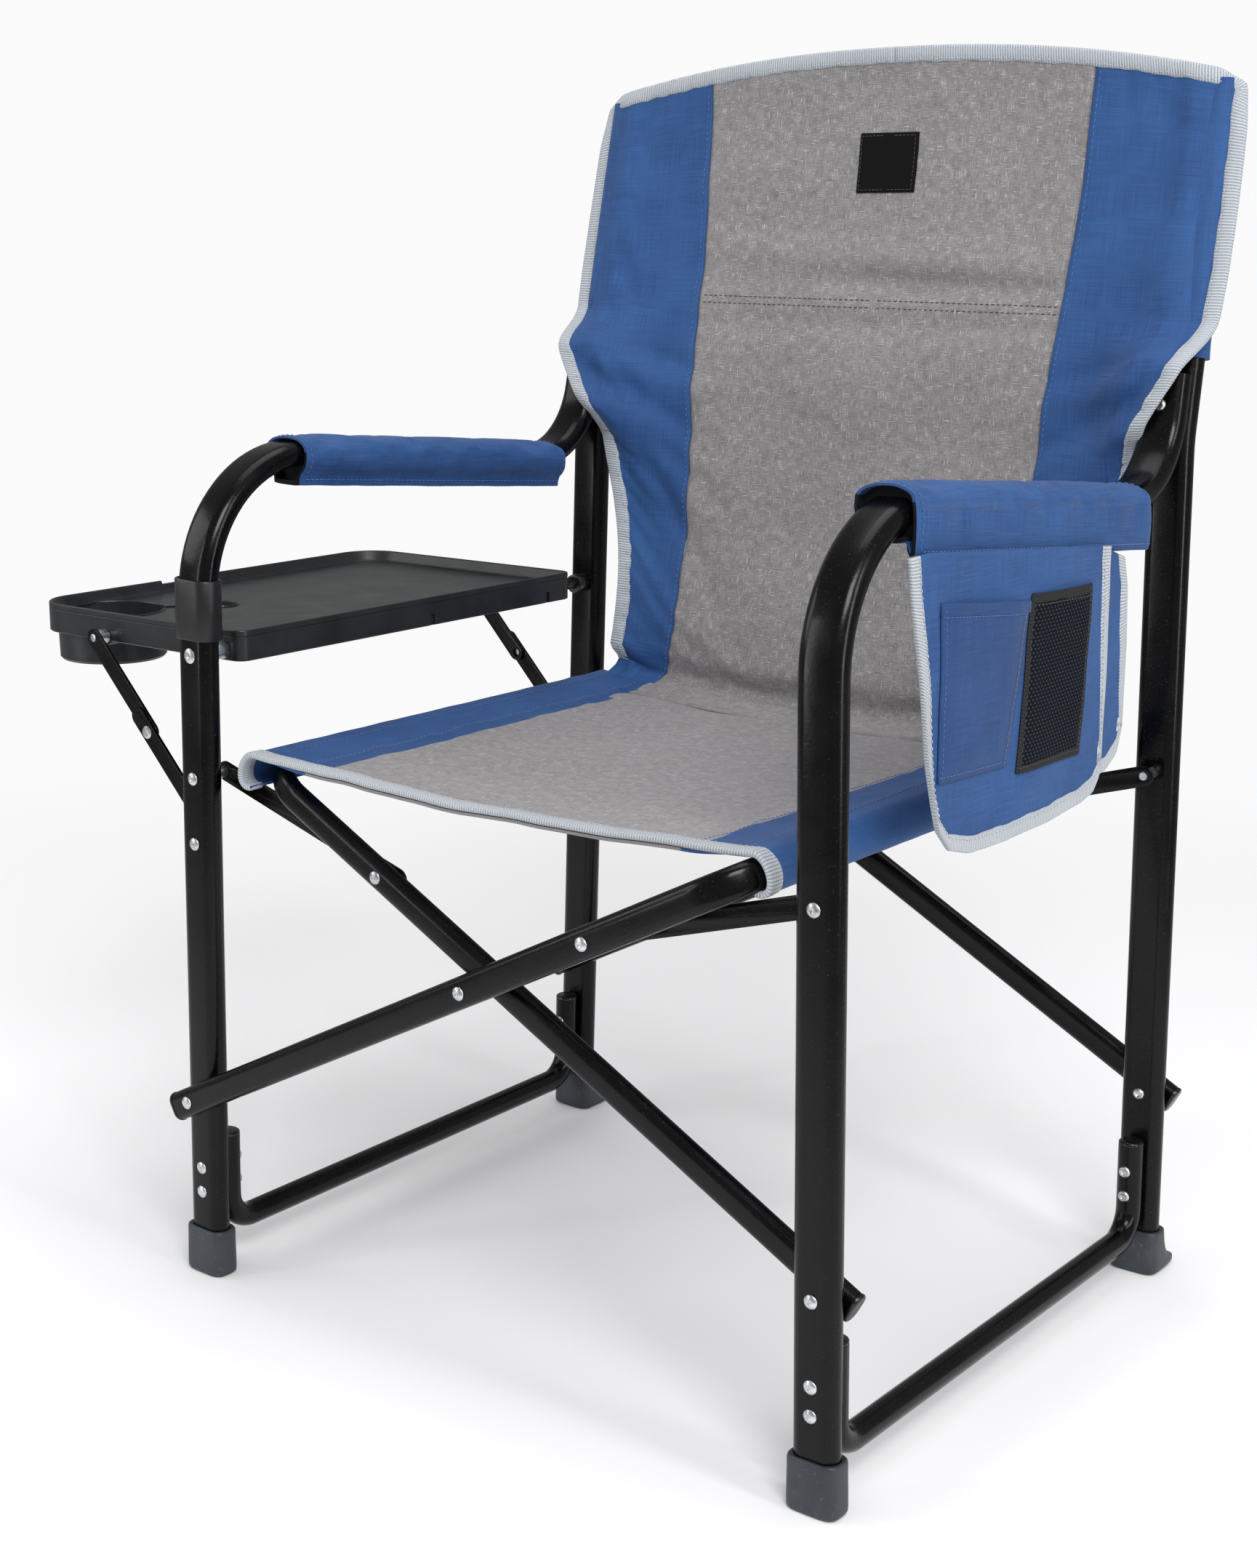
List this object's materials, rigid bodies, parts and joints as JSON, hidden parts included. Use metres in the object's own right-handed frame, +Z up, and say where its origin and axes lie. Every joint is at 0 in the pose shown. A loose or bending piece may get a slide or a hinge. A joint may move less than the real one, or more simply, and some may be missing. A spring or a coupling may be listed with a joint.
{
  "type": "director chair",
  "caption": "Folding director chair with a scissor frame, padded arms, fabric sling seat and back, a drop-down side tray and a hanging side pocket.",
  "frame": {"origin": "bottom centre of the whole box, tray included, on the floor; the centre of the four feet is at x 0.095235, y -0.01709", "axes": "+Z up; -Y is the way the sitter faces; +X is the side with the hanging pocket, -X the side with the tray"},
  "size_m": [0.7896, 0.546, 0.923],
  "materials": {
    "black_steel": "gloss black powder coat",
    "zinc_steel": "zinc-plated rivets",
    "black_plastic": "satin moulded black plastic",
    "foot_plastic": "matt dark slate plastic",
    "blue_fabric": "coated blue oxford weave",
    "grey_fabric": "grey heather weave with pale slubs"
  },
  "bodies": {
    "left_frame": {"arm_pad_left": "blue_fabric", "arm_rivet_left": "zinc_steel", "back_sling": "grey_fabric", "brace_pin_front": "zinc_steel", "brace_pin_rear": "zinc_steel", "foot_front_left": "foot_plastic", "foot_rear_left": "foot_plastic", "leg_arm_left": "black_steel", "leg_collar_left": "black_plastic", "link_pin_front_left": "zinc_steel", "link_pin_rear_left": "zinc_steel", "pivot_pin_front_left": "zinc_steel", "pivot_pin_rear_left": "zinc_steel", "rail_plug_front_left": "black_plastic", "rail_plug_rear_left": "black_plastic", "rear_leg_left": "black_steel", "side_rail_left": "black_steel", "table_hinge_pin_front": "black_plastic", "table_hinge_pin_rear": "black_plastic"},
    "right_frame": {"arm_pad_right": "blue_fabric", "arm_rivet_right": "zinc_steel", "foot_front_right": "foot_plastic", "foot_rear_right": "foot_plastic", "leg_arm_right": "black_steel", "link_pin_front_right": "zinc_steel", "link_pin_rear_right": "zinc_steel", "pivot_pin_front_right": "zinc_steel", "pivot_pin_rear_right": "zinc_steel", "rail_plug_front_right": "black_plastic", "rail_plug_rear_right": "black_plastic", "rear_leg_right": "black_steel", "side_pocket": "blue_fabric", "side_rail_right": "black_steel"},
    "cross_a": {"cross_plug_a_front": "black_plastic", "cross_plug_a_rear": "black_plastic", "cross_tube_a": "black_steel", "link_rivet_a_front": "zinc_steel", "link_rivet_a_rear": "zinc_steel"},
    "cross_b": {"cross_pin_front": "zinc_steel", "cross_pin_rear": "zinc_steel", "cross_plug_b_front": "black_plastic", "cross_plug_b_rear": "black_plastic", "cross_tube_b": "black_steel", "link_rivet_b_front": "zinc_steel", "link_rivet_b_rear": "zinc_steel"},
    "link_left": {"link_left_front": "black_steel", "link_left_rear": "black_steel"},
    "link_right": {"link_right_front": "black_steel", "link_right_rear": "black_steel"},
    "seat": {"seat_sling": "grey_fabric"},
    "table": {"table_brace_pin_front": "zinc_steel", "table_brace_pin_rear": "zinc_steel", "table_tray": "black_plastic"},
    "brace_lower": {"brace_knee_pin_front": "zinc_steel", "brace_knee_pin_rear": "zinc_steel", "brace_lower_front": "black_steel", "brace_lower_rear": "black_steel"},
    "brace_upper": {"brace_upper_front": "black_steel", "brace_upper_rear": "black_steel"}
  },
  "joints": [
    {"name": "fold", "type": "hinge", "parent": "left_frame", "child": "cross_b", "pos_m": [-0.18112, -0.01709, 0.14595], "axis": [0, -1, 0], "range_deg": [0, 40.75], "deforming": ["seat_sling", "back_sling"]},
    {"name": "cross_pivot", "type": "hinge", "parent": "cross_b", "child": "cross_a", "pos_m": [0.09524, -0.01709, 0.292], "axis": [0, -1, 0], "range_deg": [-88.39, 0]},
    {"name": "right_pivot", "type": "hinge", "parent": "cross_a", "child": "right_frame", "pos_m": [0.37159, -0.01709, 0.14595], "axis": [0, -1, 0], "range_deg": [0, 40.85]},
    {"name": "seat_rail", "type": "hinge", "parent": "cross_a", "child": "seat", "pos_m": [-0.1258, -0.01709, 0.40881], "axis": [0, -1, 0], "range_deg": [0, 44.25]},
    {"name": "link_left_pivot", "type": "hinge", "parent": "left_frame", "child": "link_left", "pos_m": [-0.17482, -0.01709, 0.39788], "axis": [0, -1, 0], "range_deg": [0, 80.28]},
    {"name": "link_right_pivot", "type": "hinge", "parent": "right_frame", "child": "link_right", "pos_m": [0.36529, -0.01709, 0.39788], "axis": [0, -1, 0], "range_deg": [-80.28, 0]},
    {"name": "table_hinge", "type": "hinge", "parent": "left_frame", "child": "table", "pos_m": [-0.17277, -0.01709, 0.49], "axis": [0, -1, 0], "range_deg": [0, 85.2]},
    {"name": "brace_lower_pivot", "type": "hinge", "parent": "left_frame", "child": "brace_lower", "pos_m": [-0.17577, -0.01709, 0.348], "axis": [0, -1, 0], "range_deg": [-22.12, 0]},
    {"name": "brace_upper_pivot", "type": "hinge", "parent": "table", "child": "brace_upper", "pos_m": [-0.30577, -0.01709, 0.486], "axis": [0, -1, 0], "range_deg": [0, 72.53]}
  ],
  "couplings": [
    {"joint": "cross_pivot", "follows": "fold", "ratio": -2.1667},
    {"joint": "right_pivot", "follows": "fold", "ratio": 1},
    {"joint": "seat_rail", "follows": "fold", "ratio": 1.0833},
    {"joint": "link_left_pivot", "follows": "fold", "ratio": 1.9678},
    {"joint": "link_right_pivot", "follows": "fold", "ratio": -1.9678},
    {"joint": "brace_lower_pivot", "follows": "table_hinge", "ratio": -0.2585},
    {"joint": "brace_upper_pivot", "follows": "table_hinge", "ratio": 0.85006}
  ]
}
